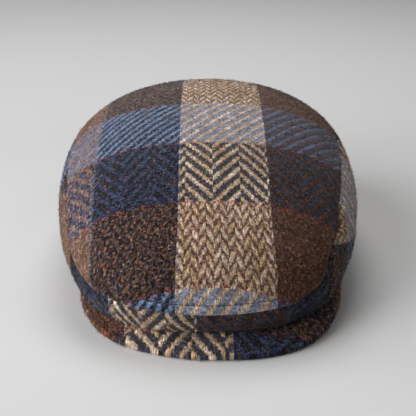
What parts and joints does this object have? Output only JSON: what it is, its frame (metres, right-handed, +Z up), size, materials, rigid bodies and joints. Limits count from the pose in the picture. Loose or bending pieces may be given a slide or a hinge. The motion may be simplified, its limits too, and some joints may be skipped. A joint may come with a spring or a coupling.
{
  "type": "flat cap",
  "caption": "Low rounded flat cap of block-check tweed, with a top panel that rolls over a front band onto a short stiff peak. Open below for a head.",
  "frame": {"origin": "centre of the bounding box, on the surface that the cap stands on", "axes": "+Y from the peak to the back of the cap, +Z up, +X to the viewer's right as the peak faces the viewer"},
  "size_m": [0.2019, 0.2748, 0.1036],
  "materials": {
    "top_tweed": "brushed wool tweed",
    "left_tweed": "brushed wool tweed",
    "right_tweed": "brushed wool tweed",
    "band_tweed": "brushed wool tweed",
    "peak_tweed": "brushed wool tweed"
  },
  "bodies": {
    "root": {"top_panel": "top_tweed", "side_panel_left": "left_tweed", "side_panel_right": "right_tweed", "front_band": "band_tweed", "peak": "peak_tweed"}
  },
  "joints": []
}
